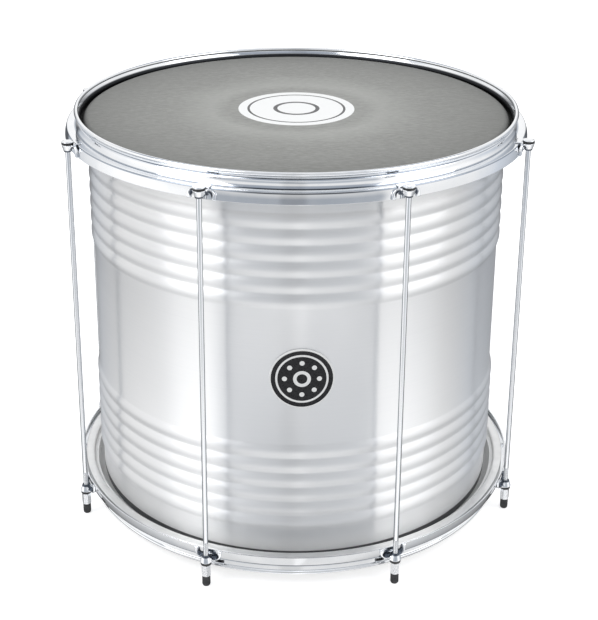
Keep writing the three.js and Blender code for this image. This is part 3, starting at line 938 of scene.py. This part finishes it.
def foot_mesh():
    """A round-ended rubber tip that stands on a small flat, with its stem in the nut."""
    round_height = FOOT_RADIUS - FOOT_FLAT
    outline = fillet([(0, 0)] + arc(FOOT_FLAT, round_height, round_height, -90, 0, 8) + [
        (FOOT_RADIUS, FOOT_TOP - 0.4, 0.3), (FOOT_RADIUS - 0.4, FOOT_TOP), (ROD_RADIUS, FOOT_TOP),
        (ROD_RADIUS, STEM_TOP), (0, STEM_TOP)], 5)
    return taken_mesh(turned("foot_master", outline, SMALL_SIDES, 40, ring=False))


def build_stations():
    """Rod, claws, washers, nut and foot at each of the eight places, the first right of the front."""
    claw, rod, nut, foot = claw_mesh(), rod_mesh(), nut_mesh(), foot_mesh()
    upper_washer = washer_mesh("upper_washer_master", UPPER_WASHER_INNER, UPPER_WASHER_OUTER,
                               UPPER_WASHER_LOW, DISC_UNDER, 0.5)
    lower_washer = washer_mesh("lower_washer_master", BORE_RADIUS, WASHER_RADIUS,
                               WASHER_LOW, WASHER_HIGH, 0.6)
    over = Matrix.Rotation(math.pi, 4, "Y")
    for index in range(ROD_COUNT):
        number = index + 1
        turn = Matrix.Rotation(2 * math.pi * (index + 0.5) / ROD_COUNT - math.pi, 4, "Z")
        station = turn @ Matrix.Translation((0, ROD_CIRCLE * MM, 0))
        upper = station @ Matrix.Translation((0, 0, UPPER_SEAT * MM))
        lower = station @ Matrix.Translation((0, 0, LOWER_SEAT * MM)) @ over
        claw_body, tuner_body = f"claw_{number}", f"tuner_{number}"
        for name, mesh, place, look, body, slot, node_name in (
            ("rod", rod, station, ROD_CHROME, "drum", "rod", "tension_rod"),
            ("upper_washer", upper_washer, station, RUBBER, "drum", "washer", None),
            ("upper_claw_cast", claw, upper, CAST, "drum", "claw", "upper_claw"),
            ("lower_claw_cast", claw, lower, LOW_CAST, claw_body, "claw", "lower_claw"),
            ("washer_ring", lower_washer, station, RUBBER, claw_body, "washer", "lower_washer"),
            ("nut_hex", nut, station, STEEL, tuner_body, "nut", "tuning_nut"),
            ("foot_tip", foot, station, RUBBER, tuner_body, "foot", "rubber_foot"),
        ):
            piece = linked(f"{name}_{number}", mesh)
            piece.matrix_world = place
            finish_piece(piece, look, body, slot, *([f"{node_name}_{number}"] if node_name else []))


# Studio

# Brightness of four rings of the studio, from the lowest directions to the highest. Degrees go
# round the drum from the front, to the right positive.
DEEP_TONES = [
    (-180, 0.95), (-169, 0.95), (-165, 0.12), (-150, 0.12), (-146, 0.22), (-125, 0.35), (-110, 0.49),
    (-97, 0.58), (-85, 0.70), (-65, 0.93), (-46, 1.02), (-42, 1.04), (-28, 1.21), (-2, 1.21),
    (0, 1.52), (4, 1.52), (6, 1.19), (28, 1.21), (39, 1.13), (44, 1.06), (60, 0.88), (73, 0.70),
    (84, 0.59), (95, 0.51), (108, 0.42), (123, 0.33), (143, 0.19), (148, 0.12), (163, 0.12),
    (167, 0.95), (180, 0.95)]
FLOOR_TONES = [
    (-180, 0.95), (-169, 0.95), (-165, 0.12), (-150, 0.12), (-146, 0.26), (-125, 0.45), (-110, 0.68),
    (-97, 0.83), (-85, 0.97), (-65, 1.18), (-46, 1.17), (-42, 0.70), (-36, 0.71), (-28, 0.73),
    (-2, 0.74), (0, 1.02), (4, 1.02), (6, 0.72), (28, 0.73), (39, 0.77), (44, 1.14), (60, 1.14),
    (73, 0.95), (84, 0.80), (95, 0.69), (108, 0.55), (123, 0.39), (143, 0.21), (148, 0.12),
    (163, 0.12), (167, 0.95)]
LEVEL_TONES = [
    (-180, 1.0), (-170, 1.0), (-166, 0.12), (-149, 0.12), (-145, 0.56), (-110, 0.98), (-65, 1.30),
    (-47, 1.22), (-43, 0.54), (-16, 0.52), (-10, 0.51), (-8, 0.38), (2, 0.38), (4, 0.51), (16, 0.52),
    (38, 0.54), (43, 1.14), (65, 1.12), (90, 0.92), (110, 0.70), (145, 0.38), (149, 0.12),
    (163, 0.12), (167, 1.0), (180, 1.0)]
UPPER_TONES = [
    (-180, 1.05), (-150, 1.0), (-120, 0.9), (-65, 1.2), (-45, 1.1), (-38, 0.86), (-10, 0.86),
    (-8, 0.72), (2, 0.72), (4, 0.86), (38, 0.86), (45, 1.1), (65, 1.2), (120, 0.9), (150, 1.0),
    (180, 1.05)]

# Height of a direction, as the Z of a unit vector, where one ring gives way to the next
DEEP_TO_FLOOR = (-0.53, -0.45)
FLOOR_TO_LEVEL = (-0.44, -0.31)
LEVEL_TO_UPPER = (0.0, 0.34)

# Tones of a ring that are darker than SHADE_LIMIT take its tint, and the others are plain white
SHADE_LIMIT = 0.8
PLAIN = (1.0, 1.0, 1.0)
FLOOR_TINT = (0.985, 1.0, 1.02)
LEVEL_TINT = (0.92, 0.98, 1.07)


def studio_tone(tree, direction):
    """Brightness by direction: white panels left and right of a greyer front, dark flags behind."""
    x, y, z = axes(tree, direction)
    turn = calc(tree, "ARCTAN2", x, calc(tree, "MULTIPLY", y, -1.0))
    turn = calc(tree, "ADD", calc(tree, "DIVIDE", turn, 2 * math.pi), 0.5)
    rings = []
    for tones, tint in ((DEEP_TONES, FLOOR_TINT), (FLOOR_TONES, FLOOR_TINT), (LEVEL_TONES, LEVEL_TINT),
                        (UPPER_TONES, PLAIN)):
        stops = [((degrees + 180) / 360, tone(level, tint if level < SHADE_LIMIT else PLAIN))
                 for degrees, level in tones]
        rings.append(ramp(tree, turn, stops))
    seen = rings[0]
    for ring, limits in zip(rings[1:], (DEEP_TO_FLOOR, FLOOR_TO_LEVEL, LEVEL_TO_UPPER)):
        seen = blend_colour(tree, remap(tree, z, *limits, 0.0, 1.0), seen, ring)
    above = ramp(tree, remap(tree, z, 0.0, 1.0, 0.0, 1.0), [
        (0.0, tone(1.0)), (0.60, tone(1.0)), (0.70, tone(0.46, (0.88, 0.97, 1.12))),
        (0.86, tone(0.5, (0.9, 0.98, 1.1))), (0.93, tone(1.05)), (1.0, tone(1.05))])
    return blend_colour(tree, 1.0, seen, above, "MULTIPLY")


def build_world():
    world = bpy.data.worlds.new("studio")
    scene.world = world
    world.use_nodes = True
    tree = world.node_tree
    tree.nodes.clear()
    direction = node(tree, "ShaderNodeTexCoord").outputs["Generated"]
    rays = node(tree, "ShaderNodeLightPath")
    colour = blend_colour(tree, rays.outputs["Is Camera Ray"], studio_tone(tree, direction), PLAIN)
    background = node(tree, "ShaderNodeBackground", {"Color": colour, "Strength": 1.0})
    out = node(tree, "ShaderNodeOutputWorld")
    tree.links.new(background.outputs[0], out.inputs[0])


def build_floor():
    """A pale floor, white to the camera but for the shadow. Metal sees the studio in its place."""
    bpy.ops.mesh.primitive_circle_add(vertices=128, radius=3.2, fill_type="NGON", location=(0, 0, 0))
    floor = bpy.context.object
    floor.name = "studio_floor"
    floor.visible_glossy = False
    made = bpy.data.materials.new("pale_floor")
    made.use_nodes = True
    tree = made.node_tree
    tree.nodes.clear()
    rays = node(tree, "ShaderNodeLightPath")
    matte = node(tree, "ShaderNodeBsdfDiffuse", {"Color": (0.70, 0.70, 0.70, 1)})
    glow = node(tree, "ShaderNodeEmission", {"Color": (1, 1, 1, 1),
                "Strength": calc(tree, "MULTIPLY", rays.outputs["Is Camera Ray"], 0.68)})
    plain = node(tree, "ShaderNodeAddShader", {0: matte.outputs[0], 1: glow.outputs[0]})
    out = node(tree, "ShaderNodeOutputMaterial")
    tree.links.new(plain.outputs[0], out.inputs[0])
    floor.data.materials.append(made)


def soft_lamp(name, place, aim, size, watts):
    data = bpy.data.lights.new(name, "AREA")
    data.shape = "RECTANGLE"
    data.size, data.size_y = size
    data.energy = watts
    lamp = bpy.data.objects.new(name, data)
    scene.collection.objects.link(lamp)
    lamp.location = place
    lamp.rotation_euler = (Vector(aim) - Vector(place)).to_track_quat("-Z", "Y").to_euler()


def build_camera():
    """The camera as solved from the photograph. Its shift is that of a picture cropped off its middle."""
    distance, height, pitch, yaw, roll = 1.635507, 0.989270, 0.36188, 0.03269, 0.00685
    focal_pixels, shift_right, shift_down = 1379.217, -3.291, -99.935
    picture_pixels = 620.0
    data = bpy.data.cameras.new("camera")
    data.sensor_width = 36.0
    data.lens = focal_pixels * data.sensor_width / picture_pixels
    data.shift_x = -shift_right / picture_pixels
    data.shift_y = shift_down / picture_pixels
    data.clip_start, data.clip_end = 0.02, 60.0
    camera = bpy.data.objects.new("camera", data)
    scene.collection.objects.link(camera)
    place = Vector((-distance * math.sin(yaw), -distance * math.cos(yaw), height))
    aim = Vector((math.sin(yaw) * math.cos(pitch), math.cos(yaw) * math.cos(pitch), -math.sin(pitch)))
    look = aim.to_track_quat("-Z", "Y").to_matrix().to_4x4()
    camera.matrix_world = Matrix.Translation(place) @ look @ Matrix.Rotation(roll, 4, "Z")
    scene.camera = camera


build_shell()
build_badge()
build_ends()
build_stations()
build_world()
build_floor()
soft_lamp("key_lamp", (-1.6, -0.9, 2.2), (0, 0, 0.3), (1.4, 1.4), 18.0)
soft_lamp("fill_lamp", (1.7, -0.7, 1.9), (0, 0, 0.3), (1.4, 1.4), 10.0)
build_camera()

scene.view_settings.view_transform = "Standard"
